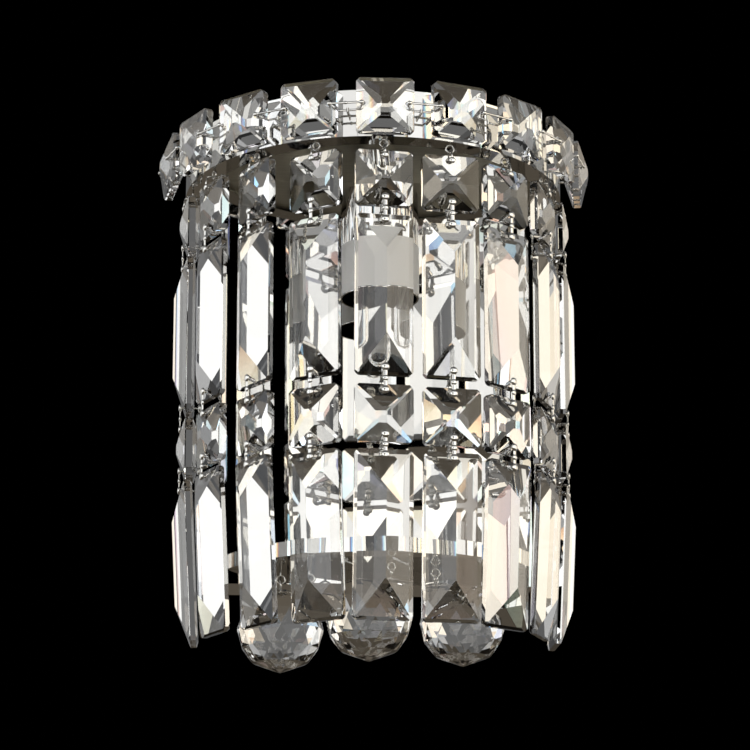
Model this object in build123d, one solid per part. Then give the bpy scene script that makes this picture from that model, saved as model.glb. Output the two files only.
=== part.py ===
from build123d import *
import os
from math import cos, radians, sin, sqrt, tan

# Half-round crystal wall sconce. Millimetres, +Z up. The wall is the plane y = 0 and the light faces -Y.
# The origin is the centre of the wall bracket, on the wall.

# ---- driving dimensions: crystals ----
square_side = 27.0  # face of a square crystal
prism_length = 77.0
crystal_edge = 3.6  # thickness of a crystal at its rim
crystal_corner = 1.8  # cut off each corner of a crystal
square_rise = 4.4  # height of a square's pyramid above its rim, front and back
square_table = 4.0  # small flat on top of the pyramid
prism_rise = 6.7  # height of a long prism's ridge above its rim, on the front only
prism_hip = 18.2  # length of the sloping facet at each end of a prism
prism_bevel = 2.4  # width of the narrow facets round a prism's flat back
prism_bevel_depth = 0.9
hole_inset = 3.2  # from a crystal's rim to the centre of its hole
hole_d = 2.2

# ---- wire links and eyes ----
wire_d = 0.9
bead_d = 2.2  # round head in front of each wire end
loop_half_depth = 4.6  # from a crystal's mid plane to the centre line of the wire
eye_radius = 1.9  # centre line of an eye's wire
link_slack = 0.15  # between the wires of two links that hang in each other
eye_stem_d = 1.0
eye_head_d = 2.4
eye_head_height = 0.8

# ---- crown and hanging columns ----
crown_top = 127.0  # top edge of the crown crystals above the bracket centre
crown_gap = 8.0  # from the band's outside to the mid plane of the crown crystals
hook_d = 1.2
hook_tip = 1.8  # height of a crown hook's upturned end
hook_head_d = 2.6
column_count = 9
column_step = 20.0  # degrees between neighbouring columns
column_inset = 2.6  # from the band's outside in to the mid plane of the hanging crystals
column_turns = [-10, -5, -18, -15, 7, -11, -2, 8, 10]  # turn of each column about its own vertical, degrees
column_lean = 0.4  # degrees that a column's bottom hangs towards the wall, as its prisms are heavier in front
drop_lean = 3.3  # the same for a lower prism, which hangs from one hole
hanger_drop = 4.6  # from the band's lower edge down to the pivot of a column
first_gap = 2.0  # pivot down to the rim of the first square
link_gaps = [4.6, 4.4, 3.2]  # clear distance between the four crystals of a column, from the top

# ---- sheet metal frame ----
band_radius = 94.4  # outside of the crown band
band_top_drop = 2.0  # from the crown's top down to the band's top edge
band_height = 23.2
band_wall = 1.0
lip_width = 9.6
lip_thickness = 1.0
pan_overlap = 5.2  # how far the pan reaches over the lip
pan_thickness = 1.0
pan_flange_height = 20.0
wall_clearance = 1.0  # from the band and the pan to the wall
box_width = 148.0
box_depth = 30.0
box_skirt = 6.8  # how far the box reaches below the tray's underside
box_wall = 1.0
tray_gap = 15.3  # from the mid plane of the hanging crystals in to the tray's rim
tray_drop = 218.7  # from the crown's top down to the tray's underside
tray_height = 6.8
tray_wall = 1.0

# ---- balls ----
ball_d = 40.0
ball_sides = 12
ball_latitudes = [-50.0, -25.0, 0.0, 25.0, 50.0]  # of the rings of corners, in degrees
ball_flat = 1.6  # cut off the ball's top
ball_pin_d = 1.6
ball_pin_depth = 7.0
ball_neck = 3.5  # from a ball's pivot down to its top flat
ball_hooks = {
    "left": (-45.0, -39.0, 8.2),
    "middle": (-5.0, -57.0, 5.2),
    "right": (39.5, -40.0, 4.6),
}  # x and y of the eye pin, and how far its pivot hangs below the tray

# ---- lamp ----
lamp_y = -56.0
cup_d = 37.2
cup_height = 52.0
cup_wall = 0.8
cup_top_drop = 41.0  # from the crown's top down to the cup's top
label_height = 24.6
label_thickness = 0.2
label_lift = 0.4  # from the cup's lower edge up to the label
stem_d = 14.0
nipple_d = 10.0
nipple_bore = 6.6
nipple_end = 1.2  # how far the nipple shows above its upper nut
nut_height = 4.0
nut_across = 15.0
socket_d = 24.0
socket_height = 20.0
socket_bore = 6.0  # depth of the threaded bore in the lampholder's top
contact_side = 2.8
contact_height = 11.0
contact_lift = 1.5
bulb_d = 10.6
bulb_length = 51.0
bulb_wall = 1.0
bulb_pinch_height = 11.0  # solid flat base of the glass
bulb_pinch_width = 9.6
bulb_pinch_depth = 4.0
bulb_pin_gap = 6.35
bulb_pin_d = 1.3
bulb_pin_length = 9.0
filament_d = 1.2
filament_length = 15.0
support_d = 0.6
support_gap = 4.4  # between the two wires that hold the filament

# ---- wall bracket, screws and wiring ----
bracket_height = 28.0
bracket_wall = 1.6
bracket_ear = 15.0  # how far the ears reach from the wall
bolt_spacing = 89.0
bolt_slot_length = 12.0
bolt_slot_d = 4.6
wire_hole_d = 18.0
ground_screw_x = 26.0
screw_d = 3.6
screw_length = 8.0
screw_head_d = 6.6
screw_head_height = 2.2
screw_recess = 1.0  # depth of the cross in a screw's head
tray_screw_x = 45.0
pan_screw_x = 55.0
lead_d = 2.0
lead_spacing = 3.4
lead_spread = 16.0  # between the two leads at their connectors
lead_rise = 19.5  # highest run of the leads above the pan
lead_y = -15.0
lead_bend = 0.45  # share of the shorter run that a bend takes up
bushing_d = 12.0
bushing_bore = 8.0
bushing_flange = 1.2
bushing_flange_d = 16.0
connector_d = 8.0
connector_tip_d = 5.0
connector_length = 18.0
connector_bore = 8.0

fit = 0.05  # radial clearance of a screwed or sliding fit
seat = 0.3  # clearance of a piece at its seat

# ---- heights and places that follow from them ----
crown_radius = band_radius + crown_gap
column_radius = band_radius - column_inset
tray_radius = column_radius - tray_gap
crown_mid = crown_top - square_side / 2
band_top = crown_top - band_top_drop
band_bottom = band_top - band_height
lip_top = band_bottom + lip_thickness
pan_top = lip_top + pan_thickness
band_inside = band_radius - band_wall
lip_inside = band_inside - lip_width
pan_radius = lip_inside + pan_overlap
tray_bottom = crown_top - tray_drop
box_bottom = tray_bottom - box_skirt
box_height = lip_top - box_bottom
tray_floor = tray_bottom + tray_wall
tray_back = -box_depth - seat
pivot_z = band_bottom - hanger_drop
cup_top = crown_top - cup_top_drop
cup_bottom = cup_top - cup_height
socket_top = cup_top - cup_wall - nut_height - seat
socket_bottom = socket_top - socket_height
bulb_top = socket_bottom - seat
ear_x = box_width / 2 - box_wall - seat
loop_rise = wire_d + link_slack  # from a pivot up to the wire of the link that hangs on it
far = 4 * band_radius  # longer than the whole light

BASE = (Align.CENTER, Align.CENTER, Align.MIN)
TOP = (Align.CENTER, Align.CENTER, Align.MAX)
nodes = {}


def column_angle(index):
    return (index - (column_count - 1) / 2) * column_step


def placed(radius, angle, z, turn=0.0):
    """A place on the plan whose local -Y faces out. Angle 0 faces -Y and positive angles lie towards +X."""
    x = radius * sin(radians(angle))
    y = -radius * cos(radians(angle))
    return Location((x, y, z), (0, 0, angle + turn))


def rod(start, end, diameter):
    """Round rod from start to end."""
    way = Vector(*end) - Vector(*start)
    return Solid.make_cylinder(diameter / 2, way.length, Plane(origin=start, z_dir=way))


def tube(outer_d, inner_d, height):
    return Cylinder(outer_d / 2, height, align=BASE) - Cylinder(inner_d / 2, 3 * height)


def in_front_of(shape, back_y):
    """The part of a shape that lies in front of back_y."""
    keeper = Box(2 * far, far, 2 * far, align=(Align.CENTER, Align.MAX, Align.CENTER))
    return shape & Pos(0, back_y, 0) * keeper


def half_chord(radius, y):
    return sqrt(radius**2 - y**2)


def group(shapes):
    return Compound(children=[solid for shape in shapes for solid in shape.solids()])


# ---- crystals, each upright in the XZ plane with its middle at the origin ----
def crystal_blank(width, height, rise):
    outline = chamfer(Rectangle(width, height).vertices(), crystal_corner)
    return extrude(Plane.XZ * outline, amount=crystal_edge / 2 + rise, both=True)


def cut_facet(solid, point, outward):
    """Removes what lies outside the plane through point."""
    return split(solid, bisect_by=Plane(origin=point, z_dir=outward), keep=Keep.BOTTOM)


def drill(solid, places):
    for x, z in places:
        solid -= Pos(x, 0, z) * Rot(90, 0, 0) * Cylinder(hole_d / 2, 8 * crystal_edge)
    return solid


def square_crystal(holes):
    """Square crystal with a low pyramid and a small table on both faces."""
    solid = crystal_blank(square_side, square_side, square_rise)
    run = (square_side - square_table) / 2
    for face in (-1, 1):
        for across, up in ((1, 0), (-1, 0), (0, 1), (0, -1)):
            rim = (across * square_side / 2, face * crystal_edge / 2, up * square_side / 2)
            solid = cut_facet(solid, rim, (across * square_rise, face * run, up * square_rise))
    return drill(solid, holes)


def prism_crystal(holes):
    """Long crystal like a hip roof in front: two long facets that meet in a ridge, and two end facets.

    Its back is flat, with a narrow bevel all round.
    """
    solid = crystal_blank(square_side, prism_length, prism_rise)
    back = crystal_edge / 2
    bevel_y = back - prism_bevel_depth
    solid = cut_facet(solid, (0, back, 0), (0, 1, 0))
    for side in (-1, 1):
        across = side * square_side / 2
        up = side * prism_length / 2
        solid = cut_facet(solid, (across, -crystal_edge / 2, 0), (side * prism_rise, -square_side / 2, 0))
        solid = cut_facet(solid, (0, -crystal_edge / 2, up), (0, -prism_hip, side * prism_rise))
        solid = cut_facet(solid, (across, bevel_y, 0), (side * prism_bevel_depth, prism_bevel, 0))
        solid = cut_facet(solid, (0, bevel_y, up), (0, prism_bevel, side * prism_bevel_depth))
    return drill(solid, holes)


def ball_ring(number):
    """Corners of the ball at one latitude. Each ring is turned half a side against the last."""
    latitude = radians(ball_latitudes[number])
    radius = ball_d / 2 * cos(latitude)
    turn = number % 2 / 2
    angles = [radians(360 * (side + turn) / ball_sides) for side in range(ball_sides)]
    return [(radius * cos(a), radius * sin(a), ball_d / 2 * sin(latitude)) for a in angles]


def ball_crystal():
    """Ball cut in triangles between staggered rings, with a point below and a small drilled flat on top."""
    rings = [ball_ring(number) for number in range(len(ball_latitudes))]
    corners = []
    for number, (low, high) in enumerate(zip(rings, rings[1:])):
        for side in range(ball_sides):
            after = (side + 1) % ball_sides
            if number % 2 == 0:
                corners += [(low[side], low[after], high[side]), (high[side], high[after], low[after])]
            else:
                corners += [(low[side], low[after], high[after]), (high[side], high[after], low[side])]
    for side in range(ball_sides):
        after = (side + 1) % ball_sides
        corners.append((rings[0][side], rings[0][after], (0, 0, -ball_d / 2)))
        corners.append((rings[-1][side], rings[-1][after], (0, 0, ball_d / 2)))
    solid = Solid(Shell([Face(Wire.make_polygon(triangle)) for triangle in corners]))
    flat_z = ball_d / 2 - ball_flat
    solid = cut_facet(solid, (0, 0, flat_z), (0, 0, 1))
    return solid - Pos(0, 0, flat_z) * Cylinder(ball_pin_d / 2 + fit, ball_pin_depth, align=TOP)


square_hole = square_side / 2 - hole_inset
prism_hole = prism_length / 2 - hole_inset
hanging_square = square_crystal([(0, square_hole), (0, -square_hole)])
upper_prism = prism_crystal([(0, prism_hole), (0, -prism_hole)])
lower_prism = prism_crystal([(0, prism_hole)])
crown_square = square_crystal([(square_hole, 0), (-square_hole, 0)])


# ---- wire links ----
def closed_link(low, high, beads):
    """Upright closed wire link between the heights low and high, with its round heads in front."""
    link = rod((0, -loop_half_depth, low), (0, -loop_half_depth, high), wire_d)
    link += rod((0, loop_half_depth, low), (0, loop_half_depth, high), wire_d)
    for z in (low, high):
        link += rod((0, -loop_half_depth, z), (0, loop_half_depth, z), wire_d)
        for y in (-loop_half_depth, loop_half_depth):
            link += Pos(0, y, z) * Sphere(wire_d / 2)
    for z in beads:
        link += Pos(0, -loop_half_depth, z) * Sphere(bead_d / 2)
    return link


def eye_pin(drop, plate):
    """Eye pin through a plate whose underside lies drop above the pivot, the eye's lowest point."""
    pin = Pos(0, 0, eye_radius) * Rot(90, 0, 0) * Torus(eye_radius, wire_d / 2)
    pin += Pos(0, 0, 2 * eye_radius) * Cylinder(eye_stem_d / 2, drop + plate - 2 * eye_radius, align=BASE)
    return pin + Pos(0, 0, drop + plate) * Cylinder(eye_head_d / 2, eye_head_height, align=BASE)


# ---- hanging columns, in heights below the pivot ----
square_1_z = -first_gap - square_side / 2
prism_1_z = square_1_z - square_side / 2 - link_gaps[0] - prism_length / 2
square_2_z = prism_1_z - prism_length / 2 - link_gaps[1] - square_side / 2
prism_2_z = square_2_z - square_side / 2 - link_gaps[2] - prism_length / 2
column_glass = [
    Pos(0, 0, square_1_z) * hanging_square,
    Pos(0, 0, prism_1_z) * upper_prism,
    Pos(0, 0, square_2_z) * hanging_square,
]
link_ends = [
    (square_1_z - square_hole, prism_1_z + prism_hole),
    (prism_1_z - prism_hole, square_2_z + square_hole),
    (square_2_z - square_hole, prism_2_z + prism_hole),
]
top_end = square_1_z + square_hole
column_links = [closed_link(top_end, loop_rise, [top_end])]
column_links += [closed_link(low, high, [low, high]) for high, low in link_ends]
column_spots = [
    placed(column_radius, column_angle(index), pivot_z, column_turns[index]) for index in range(column_count)
]
drop_hook_z = prism_2_z + prism_hole
leaning = Rot(column_lean, 0, 0)
drop_place = Pos(0, 0, drop_hook_z) * Rot(drop_lean - column_lean, 0, 0) * Pos(0, 0, -prism_hole)
for number, spot in enumerate(column_spots, start=1):
    hung = spot * leaning
    nodes[f"column_{number}_crystals"] = group([hung * piece for piece in column_glass])
    nodes[f"column_{number}_links"] = group([hung * piece for piece in column_links])
    nodes[f"column_{number}_lower_prism"] = hung * drop_place * lower_prism

nodes["column_hangers"] = group([spot * eye_pin(hanger_drop, lip_thickness) for spot in column_spots])

# ---- crown: squares in front of the band, joined side to side by links that lie on hooks ----
half_step = column_step / 2
gap_angles = [column_angle(index) + half_step for index in range(column_count - 1)]
link_half = crown_radius * sin(radians(half_step)) - square_hole * cos(radians(half_step))
link_radius = crown_radius * cos(radians(half_step)) + square_hole * sin(radians(half_step))
crown_link = Rot(0, 90, 0) * closed_link(-link_half, link_half, [-link_half, link_half])
nodes["crown_crystals"] = group(
    [placed(crown_radius, column_angle(index), crown_mid) * crown_square for index in range(column_count)]
)
nodes["crown_links"] = group([placed(link_radius, angle, crown_mid) * crown_link for angle in gap_angles])

# A hook's pin runs out from the band just under the back wire of a link and turns up beyond it.
hook_z = crown_mid - wire_d / 2 - link_slack - hook_d / 2
hook_start = band_inside - eye_head_height
hook_end = link_radius - loop_half_depth + wire_d / 2 + link_slack + hook_d / 2
end_pin_end = crown_radius + loop_half_depth


def crown_hook():
    """Hook along local -Y, with its head against the inside of the band."""
    hook = rod((0, -hook_start, 0), (0, -hook_end, 0), hook_d)
    hook += rod((0, -hook_start, 0), (0, -band_inside + fit, 0), hook_head_d)
    hook += rod((0, -hook_end, 0), (0, -hook_end, hook_tip), hook_d)
    return hook + Pos(0, -hook_end, 0) * Sphere(hook_d / 2)


def end_pin():
    """Straight pin through the outer hole of the first or last crown crystal."""
    pin = rod((0, -hook_start, 0), (0, -end_pin_end, 0), hook_d)
    return pin + Pos(0, -end_pin_end, 0) * Sphere(bead_d / 2)


hook_spots = [placed(0, angle, hook_z) for angle in gap_angles]
last_angle = column_angle(column_count - 1)
end_spots = [placed(0, side * last_angle, crown_mid) * Pos(side * square_hole, 0, 0) for side in (-1, 1)]
hooks = [spot * crown_hook() for spot in hook_spots]
nodes["crown_hooks"] = group(hooks + [spot * end_pin() for spot in end_spots])

# ---- crown band with its lip ----
band = Pos(0, 0, band_bottom) * tube(2 * band_radius, 2 * band_inside, band_height)
band += Pos(0, 0, band_bottom) * tube(2 * band_radius, 2 * lip_inside, lip_thickness)
band = in_front_of(band, -wall_clearance)
for spot in column_spots:
    band -= spot * Cylinder(eye_stem_d / 2 + fit, 2 * (hanger_drop + 2 * lip_thickness))
for spot in hook_spots + end_spots:
    band -= spot * rod((0, -pan_radius, 0), (0, -crown_radius, 0), hook_d + 2 * fit)
nodes["crown_band"] = band


# ---- screws ----
def pan_head_screw():
    """Screw along Z with the underside of its head at the origin and a cross recess on top."""
    screw = Pos(0, 0, -screw_length) * Cylinder(screw_d / 2, screw_length, align=BASE)
    head = Cylinder(screw_head_d / 2, screw_head_height, align=BASE)
    screw += fillet(head.edges().sort_by(Axis.Z)[-1], screw_head_height / 3)
    slot = Box(screw_head_d * 0.6, screw_head_d * 0.14, 2 * screw_recess)
    return screw - Pos(0, 0, screw_head_height) * (slot + Rot(0, 0, 90) * slot)


pan_screw_spots = [Pos(side * pan_screw_x, lead_y, pan_top) for side in (-1, 1)]
side_screw_spots = [
    Pos(side * box_width / 2, -bracket_ear / 2, 0) * Rot(0, side * 90, 0) for side in (-1, 1)
]
tray_screw_z = tray_bottom + tray_height / 2
tray_screw_spots = [
    Pos(side * tray_screw_x, -box_depth + box_wall, tray_screw_z) * Rot(-90, 0, 0) for side in (-1, 1)
]
screw_spots = pan_screw_spots + side_screw_spots + tray_screw_spots
screw_hole = Cylinder(screw_d / 2 + fit, 3 * screw_length)
nodes["frame_screws"] = group([spot * pan_head_screw() for spot in screw_spots])


def drill_for_screws(shape, spots):
    for spot in spots:
        shape -= spot * screw_hole
    return shape


# ---- top pan: half-round plate on the lip and on the box, with a turned-up edge at the wall ----
nipple_hole = Cylinder(nipple_d / 2 + fit, far)
bushing_hole = Cylinder(bushing_d / 2 + fit, 3 * (pan_thickness + box_wall))
pan = Pos(0, 0, lip_top) * Cylinder(pan_radius, pan_thickness, align=BASE)
pan = in_front_of(pan, -wall_clearance)
flange_width = 2 * half_chord(pan_radius, wall_clearance + pan_thickness)
flange = Box(flange_width, pan_thickness, pan_flange_height, align=(Align.CENTER, Align.MAX, Align.MIN))
pan += Pos(0, -wall_clearance, lip_top) * flange
pan -= Pos(0, lamp_y, 0) * nipple_hole
pan -= Pos(0, lead_y, lip_top) * bushing_hole
nodes["top_pan"] = drill_for_screws(pan, pan_screw_spots)

# ---- back box, open to the wall ----
box = Box(box_width, box_depth, box_height, align=(Align.CENTER, Align.MAX, Align.MAX))
hollow_width = box_width - 2 * box_wall
hollow_height = box_height - 2 * box_wall
hollow = Box(hollow_width, box_depth - box_wall, hollow_height, align=(Align.CENTER, Align.MAX, Align.MAX))
box -= Pos(0, 0, -box_wall) * hollow
box = Pos(0, 0, lip_top) * box
box -= Pos(0, lead_y, lip_top) * bushing_hole
nodes["back_box"] = drill_for_screws(box, screw_spots)

# ---- bottom tray: floor, rim and a turned-up edge against the box ----
tray = Pos(0, 0, tray_bottom) * Cylinder(tray_radius, tray_height, align=BASE)
tray -= Pos(0, 0, tray_floor) * Cylinder(tray_radius - tray_wall, tray_height, align=BASE)
tray = in_front_of(tray, tray_back)
tray_back_width = 2 * half_chord(tray_radius, -tray_back + tray_wall)
tray_flange = Box(tray_back_width, tray_wall, tray_height, align=(Align.CENTER, Align.MAX, Align.MIN))
tray += Pos(0, tray_back, tray_bottom) * tray_flange
for x, y, drop in ball_hooks.values():
    tray -= Pos(x, y, tray_bottom) * Cylinder(eye_stem_d / 2 + fit, 4 * tray_wall)
nodes["bottom_tray"] = drill_for_screws(tray, tray_screw_spots)

# ---- balls on their eyes ----
faceted_ball = ball_crystal()
ball_eye_z = loop_rise - eye_radius
ball_pin_length = ball_pin_depth - seat


def ball_eye():
    """Eye across the tray's eye pin, with a pin down into the ball."""
    link = Pos(0, 0, ball_eye_z) * Rot(0, 90, 0) * Torus(eye_radius, wire_d / 2)
    pin_top = ball_eye_z - eye_radius
    pin_height = pin_top + ball_neck + ball_pin_length
    return link + Pos(0, 0, pin_top) * Cylinder(ball_pin_d / 2, pin_height, align=TOP)


for name, (x, y, drop) in ball_hooks.items():
    pivot = Pos(x, y, tray_bottom - drop)
    nodes[f"ball_{name}"] = pivot * Pos(0, 0, ball_flat - ball_d / 2 - ball_neck) * faceted_ball
    nodes[f"ball_{name}_eye"] = pivot * ball_eye()
nodes["ball_hangers"] = group(
    [Pos(x, y, tray_bottom - drop) * eye_pin(drop, tray_wall) for x, y, drop in ball_hooks.values()]
)

# ---- lamp: stem, nipple, nuts, cup, label ----
lamp = Pos(0, lamp_y, 0)
screwed_d = nipple_d + 2 * fit
nipple_bottom = socket_top - socket_bore + seat
nipple_top = pan_top + nut_height + nipple_end
nipple = Pos(0, 0, nipple_bottom) * tube(nipple_d, nipple_bore, nipple_top - nipple_bottom)
nut = extrude(RegularPolygon(nut_across / 2, 6, major_radius=False), nut_height)
nut -= Cylinder(screwed_d / 2, far)
cup = Cylinder(cup_d / 2, cup_height, align=BASE)
cup -= Cylinder(cup_d / 2 - cup_wall, cup_height - cup_wall, align=BASE)
cup -= nipple_hole
label_inner_d = cup_d + 2 * fit
label = tube(label_inner_d + 2 * label_thickness, label_inner_d, label_height)
nodes["lamp_stem"] = lamp * Pos(0, 0, cup_top) * tube(stem_d, screwed_d, lip_top - cup_top)
nodes["lamp_nipple"] = lamp * nipple
nodes["lamp_nuts"] = group([lamp * Pos(0, 0, z) * nut for z in (pan_top, cup_top - cup_wall - nut_height)])
nodes["lamp_cup"] = lamp * Pos(0, 0, cup_bottom) * cup
nodes["lamp_label"] = lamp * Pos(0, 0, cup_bottom + label_lift) * label

# ---- ceramic lampholder and its contacts ----
pin_places = [-bulb_pin_gap / 2, bulb_pin_gap / 2]
slot_side = contact_side + 2 * fit
socket = Pos(0, 0, socket_bottom) * Cylinder(socket_d / 2, socket_height, align=BASE)
socket -= Pos(0, 0, socket_top) * Cylinder(screwed_d / 2, socket_bore, align=TOP)
for x in pin_places:
    socket -= Pos(x, 0, socket_bottom) * Box(slot_side, slot_side, 2 * (socket_height - socket_bore))
contact = Box(contact_side, contact_side, contact_height, align=BASE) - Cylinder(bulb_pin_d / 2 + fit, far)
nodes["lamp_socket"] = lamp * socket
nodes["lamp_contacts"] = group(
    [lamp * Pos(x, 0, socket_bottom + contact_lift) * contact for x in pin_places]
)


# ---- capsule lamp ----
def capsule(radius, top_z, bottom_z):
    body = Pos(0, 0, bottom_z + radius) * Cylinder(radius, top_z - bottom_z - 2 * radius, align=BASE)
    return body + Pos(0, 0, top_z - radius) * Sphere(radius) + Pos(0, 0, bottom_z + radius) * Sphere(radius)


pinch_bottom = bulb_top - bulb_pinch_height
bulb_bottom = bulb_top - bulb_length
capsule_top = pinch_bottom + bulb_d / 3  # the capsule's shoulder closes round the pinch
glass = capsule(bulb_d / 2, capsule_top, bulb_bottom)
glass += Pos(0, 0, bulb_top) * Box(bulb_pinch_width, bulb_pinch_depth, bulb_pinch_height, align=TOP)
glass -= capsule(bulb_d / 2 - bulb_wall, capsule_top - bulb_wall, bulb_bottom + bulb_wall)
filament_top = pinch_bottom - bulb_d / 2
filament_bottom = filament_top - filament_length
support_x = support_gap / 2
pin_end = bulb_top - bulb_pinch_height / 2


def lamp_metal():
    """The two pins, their wires through the glass, and the filament between the wires, in one piece."""
    metal = rod((-support_x, 0, filament_bottom), (support_x, 0, filament_top), filament_d)
    left = (pin_places[0], -support_x, filament_bottom)
    right = (pin_places[1], support_x, filament_top)
    for x, end_x, end_z in (left, right):
        metal += rod((x, 0, pin_end), (x, 0, bulb_top + bulb_pin_length), bulb_pin_d)
        metal += rod((x, 0, pin_end), (end_x, 0, pin_end), support_d)
        metal += rod((end_x, 0, pin_end), (end_x, 0, end_z), support_d)
    return metal


for x, end_x in zip(pin_places, (-support_x, support_x)):
    glass -= rod((x, 0, pin_end - support_d / 2 - fit), (x, 0, bulb_top + fit), bulb_pin_d + 2 * fit)
    glass -= rod((x, 0, pin_end), (end_x, 0, pin_end), support_d + 2 * fit)
    glass -= rod((end_x, 0, pin_end + support_d / 2 + fit), (end_x, 0, filament_top), support_d + 2 * fit)
nodes["bulb_glass"] = lamp * glass
nodes["bulb_metal"] = lamp * lamp_metal()

# ---- leads from the lampholder over the pan and down into the box, with their bushing and connectors ----
bushing_depth = pan_thickness + box_wall + bushing_flange
bushing = Pos(0, 0, -bushing_depth) * tube(bushing_d, bushing_bore, bushing_depth + bushing_flange)
bushing += tube(bushing_flange_d, bushing_bore, bushing_flange)
nodes["lead_bushing"] = Pos(0, lead_y, pan_top) * bushing
connector_top = lip_top - box_wall - 2 * connector_length


def lead_points(side):
    x = side * lead_spacing / 2
    wide_x = side * lead_spread / 2
    high = pan_top + lead_rise
    spread_start = lip_top - box_wall - connector_length / 3
    return [
        (x, lamp_y, socket_top - socket_bore + seat),
        (x, lamp_y, high),
        (x, lead_y, high),
        (x, lead_y, spread_start),
        (wide_x, lead_y, spread_start - connector_length),
        (wide_x, lead_y, connector_top - connector_bore + seat),
    ]


def bend_radii(points):
    """The largest bends that the runs on both sides of each point allow."""
    radii = []
    for before, point, after in zip(points, points[1:], points[2:]):
        first = Vector(*point) - Vector(*before)
        second = Vector(*after) - Vector(*point)
        half_turn = radians(first.get_angle(second)) / 2
        radii.append(lead_bend * min(first.length, second.length) / tan(half_turn))
    return radii


def lead(side):
    points = lead_points(side)
    radii = bend_radii(points)
    print("lead bends", [round(radius, 1) for radius in radii])
    path = FilletPolyline(*points, radius=radii)
    section = Plane(origin=path @ 0, z_dir=path % 0) * Circle(lead_d / 2)
    return sweep(section, path=path)


connector = Cone(connector_tip_d / 2, connector_d / 2, connector_length, align=TOP)
connector -= Cylinder(lead_d / 2 + fit, connector_bore, align=TOP)
nodes["lamp_leads"] = group([lead(side) for side in (-1, 1)])
nodes["wire_connectors"] = group(
    [Pos(side * lead_spread / 2, lead_y, connector_top) * connector for side in (-1, 1)]
)

# ---- wall bracket with its ears and slots, and the ground screw ----
bracket = Box(2 * ear_x, bracket_wall, bracket_height, align=(Align.CENTER, Align.MAX, Align.CENTER))
ear = Box(bracket_wall, bracket_ear, bracket_height, align=(Align.MAX, Align.MAX, Align.CENTER))
bracket += Pos(ear_x, 0, 0) * ear
bracket += Pos(-ear_x + bracket_wall, 0, 0) * ear
bracket -= Rot(90, 0, 0) * Cylinder(wire_hole_d / 2, far)
for side in (-1, 1):
    slot = extrude(SlotOverall(bolt_slot_length, bolt_slot_d), far, both=True)
    bracket -= Pos(side * bolt_spacing / 2, 0, 0) * Rot(90, 0, 0) * slot
ground_spot = Pos(ground_screw_x, 0, 0) * Rot(90, 0, 0)
bracket -= ground_spot * Cylinder(screw_d / 2 + fit, far)
nodes["wall_bracket"] = drill_for_screws(bracket, side_screw_spots)
ground_screw = Cylinder(screw_d / 2, bracket_wall, align=BASE)
ground_screw += Pos(0, 0, bracket_wall) * Cylinder(screw_head_d / 2, screw_head_height, align=BASE)
nodes["ground_screw"] = ground_spot * ground_screw

os.makedirs("parts", exist_ok=True)
for name, shape in nodes.items():
    export_step(shape, f"parts/{name}.step")
print("nodes", len(nodes), "pivots", pivot_z, pivot_z + drop_hook_z)
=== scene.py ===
"""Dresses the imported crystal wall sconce: cut crystal, mirror chrome, clips, lamp and a dark studio."""

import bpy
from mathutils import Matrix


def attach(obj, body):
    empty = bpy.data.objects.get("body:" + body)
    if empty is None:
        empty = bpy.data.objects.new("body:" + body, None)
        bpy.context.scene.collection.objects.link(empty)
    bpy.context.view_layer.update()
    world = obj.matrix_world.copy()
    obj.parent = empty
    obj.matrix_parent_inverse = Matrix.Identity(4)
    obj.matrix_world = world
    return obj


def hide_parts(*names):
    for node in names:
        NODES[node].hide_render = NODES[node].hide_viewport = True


bl_info = {
    "name": "Crystal wall sconce",
    "version": (1, 0, 0),
    "blender": (4, 5, 0),
    "location": "View3D > Sidebar > Sconce",
    "description": "Builds the finishes, clips, lamp and studio of a half-round crystal wall light",
    "category": "Object",
}

from math import cos, pi, radians, sin, sqrt, tan

import bmesh
import bpy
from mathutils import Matrix, Vector

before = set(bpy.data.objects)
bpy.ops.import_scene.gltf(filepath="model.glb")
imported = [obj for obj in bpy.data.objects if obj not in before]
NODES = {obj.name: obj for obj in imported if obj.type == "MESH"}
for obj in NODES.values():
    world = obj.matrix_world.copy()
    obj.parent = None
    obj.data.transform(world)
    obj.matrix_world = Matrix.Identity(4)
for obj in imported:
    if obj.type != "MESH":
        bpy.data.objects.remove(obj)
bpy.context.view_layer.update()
MM = 0.001

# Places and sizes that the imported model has, in millimetres.
COLUMN_COUNT = 9
COLUMN_STEP = 20.0
COLUMN_TURNS = (-10, -5, -18, -15, 7, -11, -2, 8, 10)
COLUMN_LEAN = 0.4
COLUMN_RADIUS = 91.8
PIVOT_Z = 97.2
CLIP_SPANS = ((-5.2, 1.05), (-36.8, -25.8), (-118.2, -107.4), (-148.4, -138.8))  # heights from the pivot
CLIP_HALF_DEPTH = 4.6
CROWN_CLIP_HALF = 7.64
CROWN_CLIP_RADIUS = 102.4 * cos(radians(10)) + 10.3 * sin(radians(10))
CROWN_MID_Z = 113.5
LAMP_Y = -56.0


# ---- colours, shader nodes and meshes ----
def linear(hex_colour, alpha=1.0):
    """An sRGB hex colour as linear values."""
    channels = [int(hex_colour[i : i + 2], 16) / 255 for i in (1, 3, 5)]
    return tuple(c / 12.92 if c <= 0.04045 else ((c + 0.055) / 1.055) ** 2.4 for c in channels) + (alpha,)


def add_node(tree, kind, settings=None, **inputs):
    """Adds a node, sets its properties, and sets or links its inputs. Input names use _ for a space."""
    node = tree.nodes.new(kind)
    for key, value in (settings or {}).items():
        setattr(node, key, value)
    for key, value in inputs.items():
        socket = node.inputs[int(key[1:]) if key[0] == "i" and key[1:].isdigit() else key.replace("_", " ")]
        if isinstance(value, bpy.types.NodeSocket):
            tree.links.new(value, socket)
        else:
            socket.default_value = value
    return node


def math_node(tree, operation, first, second=0.0):
    return add_node(tree, "ShaderNodeMath", {"operation": operation}, i0=first, i1=second).outputs[0]


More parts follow.
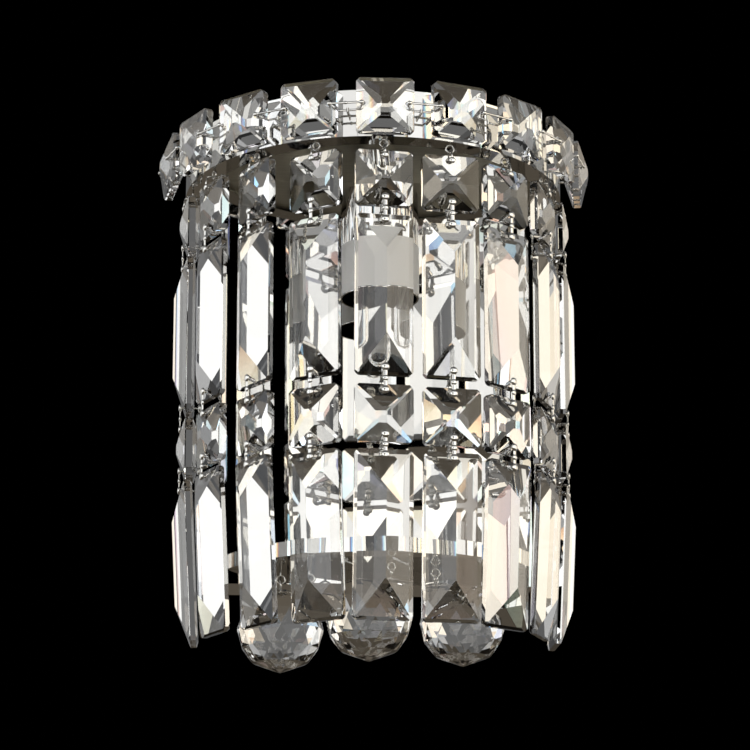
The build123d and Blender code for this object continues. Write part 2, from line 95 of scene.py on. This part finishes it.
def vector_node(tree, operation, first, second=(0, 0, 0)):
    node = add_node(tree, "ShaderNodeVectorMath", {"operation": operation}, i0=first, i1=second)
    return node.outputs["Vector"]


def scaled(tree, vector, factor):
    node = add_node(tree, "ShaderNodeVectorMath", {"operation": "SCALE"}, i0=vector, Scale=factor)
    return node.outputs["Vector"]


def noise(tree, place, size_mm, detail):
    """Noise whose cells are about the given size on the object."""
    node = add_node(tree, "ShaderNodeTexNoise", Vector=place, Scale=1 / (size_mm * MM), Detail=detail)
    return node.outputs["Fac"]


def two_tones(tree, factor, low_hex, high_hex):
    """A colour between two near tones."""
    ramp = add_node(tree, "ShaderNodeValToRGB", Fac=factor)
    ramp.color_ramp.elements[0].color = linear(low_hex)
    ramp.color_ramp.elements[1].color = linear(high_hex)
    return ramp.outputs["Color"]


def smooth_step(tree, value, start, end, least=0.0):
    """Rises smoothly from the least value at start to 1 at end."""
    node = add_node(
        tree, "ShaderNodeMapRange", {"interpolation_type": "SMOOTHSTEP"}, Value=value, From_Min=start,
        From_Max=end, To_Min=least, To_Max=1.0,
    )
    return node.outputs["Result"]


def new_material(name):
    material = bpy.data.materials.new(name)
    material.use_nodes = True
    material.node_tree.nodes.clear()
    return material, material.node_tree


def object_place(tree):
    """Position on the object in metres."""
    return add_node(tree, "ShaderNodeTexCoord").outputs["Object"]


def output(tree, shader):
    add_node(tree, "ShaderNodeOutputMaterial", Surface=shader)


def bumped(tree, height, strength, distance):
    node = add_node(tree, "ShaderNodeBump", Height=height, Strength=strength, Distance=distance)
    return node.outputs["Normal"]


def polish_waves(tree, wave_mm, depth_mm):
    """Normals of a hand-polished face: waves a few millimetres long and a micron or so deep."""
    return bumped(tree, noise(tree, object_place(tree), wave_mm, 1.0), 1.0, depth_mm * MM)


def finish(material, *names):
    for name in names:
        node = NODES[name]
        node.data.materials.clear()
        node.data.materials.append(material)


def new_piece(name, mesh_builder, material, body, replaces=(), smooth=True):
    """A mesh piece from a bmesh, riding on a body."""
    mesh = bpy.data.meshes.new(name)
    bmesh.ops.recalc_face_normals(mesh_builder, faces=mesh_builder.faces)
    mesh_builder.to_mesh(mesh)
    mesh_builder.free()
    piece = bpy.data.objects.new(name, mesh)
    bpy.context.scene.collection.objects.link(piece)
    mesh.materials.append(material)
    if smooth:
        mesh.shade_smooth()
    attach(piece, body)
    if replaces:
        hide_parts(*replaces)
    return piece


def loft(builder, sections):
    """Closed skin through rings of points, with flat ends."""
    rings = [[builder.verts.new(point) for point in ring] for ring in sections]
    count = len(rings[0])
    for low, high in zip(rings, rings[1:]):
        for i in range(count):
            j = (i + 1) % count
            builder.faces.new((low[i], low[j], high[j], high[i]))
    builder.faces.new(rings[0])
    builder.faces.new(rings[-1])


def column_place(index):
    """The frame of one hanging column: local -Y faces out, the origin is the pivot."""
    angle = radians((index - (COLUMN_COUNT - 1) / 2) * COLUMN_STEP)
    turn = radians(COLUMN_TURNS[index])
    place = Vector((COLUMN_RADIUS * sin(angle), -COLUMN_RADIUS * cos(angle), PIVOT_Z)) * MM
    lean = Matrix.Rotation(radians(COLUMN_LEAN), 4, "X")
    return Matrix.Translation(place) @ Matrix.Rotation(angle + turn, 4, "Z") @ lean


# ---- finishes ----
def cut_crystal():
    """Lead crystal, cut and polished: clear, strong sparkle at the facet edges, hardly any tint."""
    material, tree = new_material("lead_crystal_cut_polished")
    glass = sconce("glass")
    shader = add_node(
        tree, "ShaderNodeBsdfPrincipled", Base_Color=glass.tint, Roughness=glass.roughness,
        IOR=glass.ior, Transmission_Weight=1.0, Normal=polish_waves(tree, 7.0, 0.0015),
    )
    output(tree, shader.outputs[0])
    return material


def mirror_chrome(name, colour, roughness):
    """Chrome plate on polished steel: a clean mirror with the faintest waviness of thin sheet."""
    material, tree = new_material(name)
    waves = noise(tree, object_place(tree), 14.0, 1.0)
    shader = add_node(
        tree, "ShaderNodeBsdfPrincipled", Base_Color=colour, Metallic=1.0, Roughness=roughness,
        Normal=bumped(tree, waves, 0.15, 0.1 * MM),
    )
    output(tree, shader.outputs[0])
    return material


def brushed_sheet():
    """Steel sheet with a straight brushed grain: soft long reflections along one direction."""
    material, tree = new_material("steel_sheet_brushed")
    stretched = add_node(
        tree, "ShaderNodeMapping", Vector=object_place(tree), Scale=(0.02, 1.0, 1.0),
    ).outputs["Vector"]
    grain = noise(tree, stretched, 0.6, 4.0)
    tone = two_tones(tree, grain, "#88826F", "#BAB4A0")
    shader = add_node(
        tree, "ShaderNodeBsdfPrincipled", Base_Color=tone, Metallic=1.0, Roughness=0.32, Anisotropic=0.5,
        Normal=bumped(tree, grain, 0.2, 0.05 * MM),
    )
    output(tree, shader.outputs[0])
    return material


def grained(name, low_hex, high_hex, metallic, roughness, grain_mm, depth_mm):
    """A surface with a fine even grain: two near colours and a shallow bump at the grain's size.

    Where it is used, a comment says what the real material gives the eye.
    """
    material, tree = new_material(name)
    grain = noise(tree, object_place(tree), grain_mm, 3.0)
    tone = two_tones(tree, grain, low_hex, high_hex)
    settings = {} if metallic else {"IOR": 1.45}
    shader = add_node(
        tree, "ShaderNodeBsdfPrincipled", Base_Color=tone, Metallic=metallic, Roughness=roughness,
        Normal=bumped(tree, grain, 0.4, depth_mm * MM), **settings,
    )
    output(tree, shader.outputs[0])
    return material


def fused_quartz():
    """Fused quartz, drawn and pinched: clear, colourless, a little less bending than crystal."""
    material, tree = new_material("fused_quartz_drawn")
    shader = add_node(
        tree, "ShaderNodeBsdfPrincipled", Base_Color=linear("#FCFCFC"), Roughness=0.0, IOR=1.46,
        Transmission_Weight=1.0, Normal=polish_waves(tree, 3.0, 0.006),
    )
    output(tree, shader.outputs[0])
    return material


def sconce(group):
    return getattr(bpy.context.scene, "sconce_" + group)


FINISHES = {}


def finish_named(name, maker, *args):
    if name not in FINISHES:
        FINISHES[name] = maker(*args)
    return FINISHES[name]


def chrome():
    return finish_named("chrome", mirror_chrome, "chrome_plate_mirror", sconce("metal").chrome, 0.03)


def wire_chrome():
    return finish_named("wire", mirror_chrome, "chrome_wire_bright", sconce("metal").wire, 0.08)


def crystal():
    return finish_named("crystal", cut_crystal)


def zinc():
    """Zinc plate on steel: pale blue-grey with a soft sheen."""
    return finish_named("zinc", grained, "steel_zinc_plated", "#9A9B9C", "#BDBEC0", 1.0, 0.3, 0.5, 0.01)


# ---- settings ----
def colour_property(name, description, hex_colour):
    return bpy.props.FloatVectorProperty(
        name=name, description=description, subtype="COLOR", size=4, min=0.0, max=1.0,
        default=linear(hex_colour),
    )


class SconceGlass(bpy.types.PropertyGroup):
    tint: colour_property("Tint", "Colour of the crystal", "#FCFCFB")
    ior: bpy.props.FloatProperty(name="IOR", description="Refractive index of the crystal", default=1.545)
    roughness: bpy.props.FloatProperty(
        name="Roughness", description="Polish of the crystal", default=0.0, min=0.0, max=1.0
    )


class SconceMetal(bpy.types.PropertyGroup):
    chrome: colour_property("Chrome", "Colour of the mirror chrome", "#D2D1CE")
    wire: colour_property("Wire", "Colour of the clips", "#E0DFDB")


class SconceStudio(bpy.types.PropertyGroup):
    lens: bpy.props.FloatProperty(name="Lens", description="Focal length on a 36 mm frame", default=110.88)
    card_strength: bpy.props.FloatProperty(
        name="Cards", description="Brightness of the light cards", default=1.0, min=0.0
    )
    fill: bpy.props.FloatProperty(
        name="Fill", description="Even light of the belt round the horizon", default=0.46, min=0.0
    )
    floor_z: bpy.props.FloatProperty(
        name="Floor", description="Height of the floor", default=-0.36, unit="LENGTH", subtype="DISTANCE"
    )


# ---- stage ----
CAMERA_PLACE = (-0.0603, -1.100, -0.2972)  # metres, below the sconce and a little to its left
CAMERA_TURNS = (105.70, 0.0, -3.19)
# Light cards: azimuth from the camera's side towards the right, elevation, half width and half height in
# degrees, strength and colour. They form a belt round the sconce, white on the left, cream on the right.
CARDS = (
    (-136, 10, 14, 12, 0.62, "#FCFBF6"),
    (-115, 12, 7, 14, 0.6, "#FCFBF6"),
    (-94, 14, 12, 12, 0.6, "#FCFBF6"),
    (-74, 14, 14, 16, 1.3, "#F2F6FC"),
    (-37, 13, 11, 19, 1.3, "#FFFFFF"),
    (-19, 12, 7, 20, 0.8, "#FFFFFF"),
    (20, 11, 10, 20, 1.0, "#FFFFFF"),
    (45, 14, 15, 18, 1.4, "#FFFAEE"),
    (73, 13, 8, 17, 1.8, "#FFECCB"),
    (98, 10, 16, 13, 0.7, "#FFECCB"),
    (134, 10, 20, 12, 0.7, "#FFECCB"),
    (0, 31, 13, 5, 0.9, "#FFFFFF"),
    (-3, -4, 28, 6, 1.0, "#FBF3E4"),
)
# Black flags in the same form. The first darkens the mirror that shows in the gaps between the columns, the
# second the wall's side.
FLAGS = (
    (-1, 16, 10, 9, 1.0, "#FFFFFF"),
    (180, 15, 30, 32, 0.7, "#FFFFFF"),
)
FLOOR_RADIUS = 2.0
FLOOR_SHADE_FALLOFF = (0.4, 1.6)  # metres from the middle where the pale paint starts to darken and where it is black: painted shade standing in for light that falls off into the dark studio
# The even belt: the height (1 is straight up) where it has faded and where it is full, and what is left of it
# beyond.
BELT_FADES = ((-0.45, -0.15, 0.0), (0.8, 0.5, 0.25))
CARD_EDGE = 0.02  # half width of a card's soft edge, as a share of its distance
# Crystal bends blue more than red. Light that came through it sees each card's edge this much further to one
# side in red and to the other in blue, across and up, as a share of its distance.
SPLIT = (0.012, 0.008)


def card_light(tree, direction, split, azimuth, elevation, half_width, half_height, strength, hex_colour):
    """One rectangular light card far away, as a colour that is zero outside the card."""
    a, e = radians(azimuth), radians(elevation)
    centre = (sin(a) * cos(e), -cos(a) * cos(e), sin(e))
    across = (cos(a), sin(a), 0.0)
    up = (-sin(a) * sin(e), cos(a) * sin(e), cos(e))

    def dot(axis):
        node = add_node(tree, "ShaderNodeVectorMath", {"operation": "DOT_PRODUCT"}, i0=direction, i1=axis)
        return node.outputs["Value"]

    toward = dot(centre)
    ahead = math_node(tree, "MAXIMUM", toward, 0.001)
    facing = math_node(tree, "GREATER_THAN", toward, 0.001)
    colour = [strength * c for c in linear(hex_colour)[:3]]
    share = scaled(tree, colour, facing)
    for axis, half, shift in ((across, half_width, SPLIT[0]), (up, half_height, SPLIT[1])):
        spread = scaled(tree, (-shift, 0.0, shift), split)
        away = vector_node(tree, "ADD", math_node(tree, "DIVIDE", dot(axis), ahead), spread)
        edge = add_node(
            tree, "ShaderNodeMapRange", {"data_type": "FLOAT_VECTOR", "interpolation_type": "SMOOTHSTEP"}
        )
        sockets = {socket.identifier: socket for socket in edge.inputs}
        tree.links.new(vector_node(tree, "ABSOLUTE", away), sockets["Vector"])
        sockets["From_Min_FLOAT3"].default_value = (tan(radians(half)) - CARD_EDGE,) * 3
        sockets["From_Max_FLOAT3"].default_value = (tan(radians(half)) + CARD_EDGE,) * 3
        sockets["To_Min_FLOAT3"].default_value = (1.0, 1.0, 1.0)
        sockets["To_Max_FLOAT3"].default_value = (0.0, 0.0, 0.0)
        share = vector_node(tree, "MULTIPLY", share, edge.outputs["Vector"])
    return share


class SCONCE_OT_stage(bpy.types.Operator):
    """Camera at the photograph's angle, light cards in a dark studio, and a pale floor"""

    bl_idname = "sconce.stage"
    bl_label = "Stage"

    def execute(self, context):
        studio = sconce("studio")
        camera_data = bpy.data.cameras.new("camera")
        camera_data.lens = studio.lens
        camera_data.sensor_width = 36.0
        camera = bpy.data.objects.new("camera", camera_data)
        camera.location = CAMERA_PLACE
        camera.rotation_euler = [radians(turn) for turn in CAMERA_TURNS]
        context.scene.collection.objects.link(camera)
        context.scene.camera = camera
        context.scene.view_settings.view_transform = "Standard"
        self.make_world(context, studio)
        self.make_floor(context, studio)
        return {"FINISHED"}

    def make_world(self, context, studio):
        """Cards and a dim belt for metal, glass and matt surfaces. The camera itself sees plain black."""
        world = bpy.data.worlds.new("dark_studio")
        world.use_nodes = True
        tree = world.node_tree
        tree.nodes.clear()
        direction = add_node(tree, "ShaderNodeTexCoord").outputs["Generated"]
        rays = add_node(tree, "ShaderNodeLightPath").outputs
        split = rays["Is Transmission Ray"]
        height = add_node(tree, "ShaderNodeSeparateXYZ", Vector=direction).outputs["Z"]
        total = studio.fill
        for start, end, least in BELT_FADES:
            total = math_node(tree, "MULTIPLY", smooth_step(tree, height, start, end, least), total)
        for card in CARDS:
            light = scaled(tree, card_light(tree, direction, split, *card), studio.card_strength)
            total = vector_node(tree, "ADD", light, total)
        for flag in FLAGS:
            left = vector_node(tree, "SUBTRACT", (1, 1, 1), card_light(tree, direction, 0.0, *flag))
            total = vector_node(tree, "MULTIPLY", total, left)
        cards = add_node(tree, "ShaderNodeBackground", Color=total, Strength=1.0)
        black = add_node(tree, "ShaderNodeBackground", Color=(0, 0, 0, 1), Strength=0.0)
        seen = rays["Is Camera Ray"]
        mix = add_node(tree, "ShaderNodeMixShader", Fac=seen, i1=cards.outputs[0], i2=black.outputs[0])
        add_node(tree, "ShaderNodeOutputWorld", Surface=mix.outputs[0])
        context.scene.world = world

    def make_floor(self, context, studio):
        """Pale matt floor, its colour darkened to black towards the edge as painted shade, clear from below.
        Metal and glass see a painted reflection there: a dim brown glow.
        """
        material, tree = new_material("floor_paint_matt_pale")
        place = add_node(tree, "ShaderNodeTexCoord").outputs["Object"]
        distance = add_node(tree, "ShaderNodeVectorMath", {"operation": "LENGTH"}, i0=place).outputs["Value"]
        # Painted shade: the floor's colour darkens to black away from the middle, where the light would fall
        # off.
        painted_falloff = smooth_step(tree, distance, *FLOOR_SHADE_FALLOFF)
        pale = two_tones(tree, noise(tree, place, 8.0, 3.0), "#CFCBC4", "#D8D4CD")
        colour = add_node(tree, "ShaderNodeMix", {"data_type": "RGBA"}, Factor=painted_falloff, A=pale, B=(0, 0, 0, 1))
        matt = add_node(tree, "ShaderNodeBsdfPrincipled", Base_Color=colour.outputs["Result"], Roughness=0.9)
        rays = add_node(tree, "ShaderNodeLightPath").outputs
        # Painted reflection: metal and glass see the floor as a dim brown glow rather than as the lit pale
        # floor.
        painted_reflection_mask = math_node(tree, "MAXIMUM", rays["Is Glossy Ray"], rays["Is Transmission Ray"])
        dark = add_node(tree, "ShaderNodeEmission", Color=linear("#5C554B"), Strength=1.0)
        mix = add_node(tree, "ShaderNodeMixShader", Fac=painted_reflection_mask, i1=matt.outputs[0], i2=dark.outputs[0])
        below = add_node(tree, "ShaderNodeNewGeometry").outputs["Backfacing"]
        clear = add_node(tree, "ShaderNodeBsdfTransparent")
        sided = add_node(tree, "ShaderNodeMixShader", Fac=below, i1=mix.outputs[0], i2=clear.outputs[0])
        output(tree, sided.outputs[0])
        builder = bmesh.new()
        bmesh.ops.create_circle(builder, cap_ends=True, radius=FLOOR_RADIUS, segments=96)
        mesh = bpy.data.meshes.new("floor")
        builder.to_mesh(mesh)
        builder.free()
        mesh.materials.append(material)
        floor = bpy.data.objects.new("floor", mesh)
        floor.location.z = studio.floor_z
        context.scene.collection.objects.link(floor)


# ---- crystals ----
class SCONCE_OT_crystals(bpy.types.Operator):
    """Cut crystal on the crown, the columns and the balls"""

    bl_idname = "sconce.crystals"
    bl_label = "Crystals"

    def execute(self, context):
        names = ["crown_crystals", "ball_left", "ball_middle", "ball_right"]
        for number in range(1, COLUMN_COUNT + 1):
            names += [f"column_{number}_crystals", f"column_{number}_lower_prism"]
        finish(crystal(), *names)
        return {"FINISHED"}


# ---- clips ----
CLIP_PAD = 1.85  # radius of a clip's round pads, which cover the holes
CLIP_BEAD = 1.4  # radius of the bead in the middle of a leaf
CLIP_WAIST = 0.9  # half width of the leaf between bead and pads
LEAF_THICK = 0.28  # half thickness of the leaf at its waist
PAD_DOME = 0.8  # half thickness of a pad's dome
PIN_RADIUS = 0.45
PIN_POINTS = 12  # points round a pin or wire
RING_POINTS = 14  # points round a leaf
LEAF_STEPS = 44
LOOP_PAD = CLIP_PAD * 0.85  # radius of the pads of a top loop
CROWN_CLIP_SIZE = 0.62  # the crown's clips are this much narrower


def circle(centre, across, along, radius_a, radius_b, count):
    """Points of an ellipse round a centre, in two given directions."""
    return [
        centre + across * (radius_a * cos(2 * pi * k / count)) + along * (radius_b * sin(2 * pi * k / count))
        for k in range(count)
    ]


def leaf_section(z, low, high, size):
    """Half width and half thickness of a leaf at height z: round pads at both ends, a bead in the middle."""
    waist = CLIP_WAIST * size
    width, thick = waist, LEAF_THICK
    outside = z < low or z > high
    pad, bead = CLIP_PAD * size, CLIP_BEAD * size
    for centre, radius, dome in ((low, pad, PAD_DOME), (high, pad, PAD_DOME), ((low + high) / 2, bead, 0.6)):
        reach = 1 - ((z - centre) / radius) ** 2
        if reach > 0:
            round_off = sqrt(reach)
            width = max(radius * round_off, 0.05 if outside else waist)
            thick = max(dome * round_off, 0.03 if outside else LEAF_THICK)
    return width, thick


def add_clip(builder, place, low, high, size=1.0):
    """A stamped bow clip between two heights: a leaf with domed pads in front and behind, and two pins."""
    across, out, up = Vector((1, 0, 0)), Vector((0, 1, 0)), Vector((0, 0, 1))
    start, end = low - CLIP_PAD * size * 0.999, high + CLIP_PAD * size * 0.999
    for face in (-1, 1):
        sections = []
        for step in range(LEAF_STEPS + 1):
            z = start + (end - start) * step / LEAF_STEPS
            width, thick = leaf_section(z, low, high, size)
            centre = out * (face * CLIP_HALF_DEPTH) + up * z
            ring = circle(centre, across, out, width, thick, RING_POINTS)
            sections.append([place @ (point * MM) for point in ring])
        loft(builder, sections)
    for z in (low, high):
        ends = [out * (face * CLIP_HALF_DEPTH) + up * z for face in (-1, 1)]
        rings = [circle(end, across, up, PIN_RADIUS, PIN_RADIUS, PIN_POINTS) for end in ends]
        loft(builder, [[place @ (point * MM) for point in ring] for ring in rings])


def add_wire_loop(builder, place, low, high):
    """The plain wire loop that hangs a column on its eye pin, with a pad in front of the crystal's hole."""
    across, out, up = Vector((1, 0, 0)), Vector((0, 1, 0)), Vector((0, 0, 1))
    corners = [
        out * -CLIP_HALF_DEPTH + up * low, out * -CLIP_HALF_DEPTH * 0.8 + up * (high - 0.9), up * high,
        out * CLIP_HALF_DEPTH * 0.8 + up * (high - 0.9), out * CLIP_HALF_DEPTH + up * low,
    ]
    for start, end in zip(corners, corners[1:] + corners[:1]):
        way = (end - start).normalized()
        side = across.cross(way)
        rings = [circle(point, across, side, PIN_RADIUS, PIN_RADIUS, PIN_POINTS) for point in (start, end)]
        loft(builder, [[place @ (point * MM) for point in ring] for ring in rings])
    for corner in corners:
        matrix = place @ Matrix.Translation(corner * MM)
        bmesh.ops.create_uvsphere(
            builder, u_segments=PIN_POINTS, v_segments=8, radius=PIN_RADIUS * MM, matrix=matrix
        )
    for face in (-1, 1):
        matrix = place @ Matrix.Translation((out * face * CLIP_HALF_DEPTH + up * low) * MM)
        matrix = matrix @ Matrix.Diagonal((1, PAD_DOME / CLIP_PAD, 1, 1))
        bmesh.ops.create_uvsphere(builder, u_segments=20, v_segments=12, radius=LOOP_PAD * MM, matrix=matrix)


class SCONCE_OT_clips(bpy.types.Operator):
    """Chrome clips between the crystals, in place of the plain wire links"""

    bl_idname = "sconce.clips"
    bl_label = "Clips"

    def execute(self, context):
        for index in range(COLUMN_COUNT):
            builder = bmesh.new()
            place = column_place(index)
            add_wire_loop(builder, place, *CLIP_SPANS[0])
            for low, high in CLIP_SPANS[1:]:
                add_clip(builder, place, low, high)
            number = index + 1
            new_piece(
                f"column_{number}_clips", builder, wire_chrome(), f"column_{number}",
                [f"column_{number}_links"],
            )
        builder = bmesh.new()
        for gap in range(COLUMN_COUNT - 1):
            angle = radians((gap - (COLUMN_COUNT - 2) / 2) * COLUMN_STEP)
            x, y = CROWN_CLIP_RADIUS * sin(angle), -CROWN_CLIP_RADIUS * cos(angle)
            place = Matrix.Translation(Vector((x, y, CROWN_MID_Z)) * MM) @ Matrix.Rotation(angle, 4, "Z")
            turned = place @ Matrix.Rotation(pi / 2, 4, "Y")
            add_clip(builder, turned, -CROWN_CLIP_HALF, CROWN_CLIP_HALF, CROWN_CLIP_SIZE)
        new_piece("crown_clips", builder, wire_chrome(), "frame", ["crown_links"])
        finish(
            wire_chrome(), "column_hangers", "crown_hooks", "ball_hangers", "ball_left_eye",
            "ball_middle_eye", "ball_right_eye",
        )
        return {"FINISHED"}


# ---- sheet metal ----
class SCONCE_OT_sheet_metal(bpy.types.Operator):
    """Mirror chrome on band, box and tray, brushed pan, plated bracket and screws"""

    bl_idname = "sconce.sheet_metal"
    bl_label = "Sheet metal"

    def execute(self, context):
        finish(chrome(), "crown_band", "back_box", "bottom_tray")
        finish(brushed_sheet(), "top_pan")
        finish(zinc(), "wall_bracket", "frame_screws")
        # Turned brass: dull yellow, so that the earth screw stands out.
        finish(grained("brass_screw_turned", "#8E6B2E", "#B08A45", 1.0, 0.35, 0.8, 0.01), "ground_screw")
        return {"FINISHED"}


# ---- lamp ----
FILAMENT_LOW = (-2.2, 29.3)  # x and height of its lower end
FILAMENT_HIGH = (2.2, 44.3)
FILAMENT_RADIUS = 0.7  # middle line of the coil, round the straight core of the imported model
FILAMENT_WIRE = 0.17
FILAMENT_TURNS = 22
TURN_STEPS = 14


class SCONCE_OT_lamp(bpy.types.Operator):
    """Cup, bare label, ceramic holder, quartz capsule and its coiled filament"""

    bl_idname = "sconce.lamp"
    bl_label = "Lamp"

    def execute(self, context):
        finish(chrome(), "lamp_cup", "lamp_stem")
        finish(zinc(), "lamp_nipple", "lamp_nuts")
        # Coated paper: nearly white and slightly shiny, with no print.
        finish(grained("label_paper_coated", "#F6F5F2", "#FBFAF8", 0.0, 0.45, 1.5, 0.005), "lamp_label")
        # Pressed steatite: cream and chalky.
        finish(grained("steatite_pressed", "#C9BBA0", "#DDD1B9", 0.0, 0.6, 0.9, 0.02), "lamp_socket")
        # Rolled brass strip: smooth warm yellow.
        finish(grained("brass_strip_rolled", "#8F7038", "#B4934F", 1.0, 0.3, 0.7, 0.01), "lamp_contacts")
        finish(fused_quartz(), "bulb_glass")
        # Drawn tungsten: dark grey wire with a soft glint.
        tungsten = grained("tungsten_wire_drawn", "#8C8A86", "#A9A7A2", 1.0, 0.35, 0.4, 0.005)
        finish(tungsten, "bulb_metal")
        self.filament(tungsten)
        return {"FINISHED"}

    def filament(self, material):
        """The coil wound round the filament's core, between the two support wires."""
        low = Vector((FILAMENT_LOW[0], LAMP_Y, FILAMENT_LOW[1]))
        high = Vector((FILAMENT_HIGH[0], LAMP_Y, FILAMENT_HIGH[1]))
        axis = (high - low).normalized()
        side = Vector((0, 1, 0))
        builder = bmesh.new()
        sections = []
        steps = FILAMENT_TURNS * TURN_STEPS
        for step in range(steps + 1):
            a = 2 * pi * step / TURN_STEPS
            out = side * cos(a) + side.cross(axis) * sin(a)
            centre = low.lerp(high, 0.05 + 0.9 * step / steps) + out * FILAMENT_RADIUS
            ring = circle(centre, out, axis, FILAMENT_WIRE, FILAMENT_WIRE, 8)
            sections.append([point * MM for point in ring])
        loft(builder, sections)
        new_piece("filament_coil", builder, material, "lamp")


# ---- wiring ----
LEAD_ROUTE = (
    (1.7, -56, 75.2), (1.7, -56, 123.3), (1.7, -15, 123.3), (1.7, -15, 95.8), (8, -15, 77.8), (8, -15, 58.1),
)
LEAD_DIAMETER = 2.0
CONNECTOR_TOP = 65.8
CONNECTOR_RIBS = 12


class SCONCE_OT_wiring(bpy.types.Operator):
    """Two sleeved leads from the holder over the pan into the box, with bushing and connectors"""

    bl_idname = "sconce.wiring"
    bl_label = "Wiring"

    def execute(self, context):
        # Braided glass fibre: off-white, dry and fuzzy.
        sleeve = grained("glass_fibre_sleeve_braided", "#CFC6B2", "#E2DBCB", 0.0, 0.7, 0.5, 0.04)
        for side, name in ((-1, "lead_left"), (1, "lead_right")):
            curve = bpy.data.curves.new(name, "CURVE")
            curve.dimensions = "3D"
            curve.bevel_depth = LEAD_DIAMETER / 2 * MM
            curve.bevel_resolution = 4
            curve.use_fill_caps = True
            spline = curve.splines.new("NURBS")
            spline.points.add(len(LEAD_ROUTE) - 1)
            for point, (x, y, z) in zip(spline.points, LEAD_ROUTE):
                point.co = (side * x * MM, y * MM, z * MM, 1)
            spline.order_u = 3
            spline.use_endpoint_u = True
            spline.resolution_u = 16
            curve.materials.append(sleeve)
            lead = bpy.data.objects.new(name, curve)
            context.scene.collection.objects.link(lead)
            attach(lead, "frame")
            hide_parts("lamp_leads")
            self.connector(side)
        # Moulded nylon: black with a dull skin.
        finish(grained("nylon_moulded_black", "#17181A", "#202225", 0.0, 0.5, 0.5, 0.01), "lead_bushing")
        return {"FINISHED"}

    def connector(self, side):
        """A twist-on connector: a ribbed cone with a skirt, hollow at its mouth."""
        x, y, top = side * LEAD_ROUTE[-1][0], LEAD_ROUTE[-1][1], CONNECTOR_TOP
        profile = (
            (top - 18.0, 2.3), (top - 17.6, 2.5), (top - 6.0, 3.4), (top - 5.5, 3.9), (top, 4.0), (top, 3.4),
            (top, 1.1), (top - 7.9, 1.05),
        )
        builder = bmesh.new()
        sections = []
        for z, radius in profile:
            ring = []
            for k in range(CONNECTOR_RIBS * 4):
                rib = 1.0 - 0.05 * (k % 4 < 2) * (radius > 1.2)
                a = 2 * pi * k / (CONNECTOR_RIBS * 4)
                ring.append(Vector((x + radius * rib * cos(a), y + radius * rib * sin(a), z)) * MM)
            sections.append(ring)
        loft(builder, sections)
        # The same plastic in orange, a little shinier.
        nylon = finish_named(
            "nylon", grained, "nylon_moulded_orange", "#B8601C", "#C86E26", 0.0, 0.35, 0.5, 0.01
        )
        name = "connector_left" if side < 0 else "connector_right"
        return new_piece(
            name, builder, nylon, "frame", ["wire_connectors"], smooth=False
        )


class SCONCE_PT_panel(bpy.types.Panel):
    """Lists the steps that dress the sconce"""

    bl_idname = "SCONCE_PT_panel"
    bl_label = "Crystal wall sconce"
    bl_space_type = "VIEW_3D"
    bl_region_type = "UI"
    bl_category = "Sconce"

    def draw(self, context):
        for step in STEPS:
            self.layout.operator(step.bl_idname)
        for group in GROUPS:
            box = self.layout.box()
            settings = sconce(group)
            for key in settings.bl_rna.properties.keys():
                if key not in ("rna_type", "name"):
                    box.prop(settings, key)


GROUPS = {"glass": SconceGlass, "metal": SconceMetal, "studio": SconceStudio}
STEPS = (
    SCONCE_OT_stage, SCONCE_OT_wiring, SCONCE_OT_crystals, SCONCE_OT_clips, SCONCE_OT_sheet_metal,
    SCONCE_OT_lamp,
)


def register():
    for group in GROUPS.values():
        bpy.utils.register_class(group)
    for step in STEPS + (SCONCE_PT_panel,):
        bpy.utils.register_class(step)
    for name, group in GROUPS.items():
        setattr(bpy.types.Scene, "sconce_" + name, bpy.props.PointerProperty(type=group))


def unregister():
    for name in GROUPS:
        delattr(bpy.types.Scene, "sconce_" + name)
    for step in reversed(STEPS + (SCONCE_PT_panel,)):
        bpy.utils.unregister_class(step)
    for group in reversed(list(GROUPS.values())):
        bpy.utils.unregister_class(group)


def main():
    register()
    for step in STEPS:
        namespace, operator = step.bl_idname.split(".")
        if getattr(getattr(bpy.ops, namespace), operator)() != {"FINISHED"}:
            raise RuntimeError(step.bl_idname + " didn't finish")


if __name__ == "__main__":
    main()
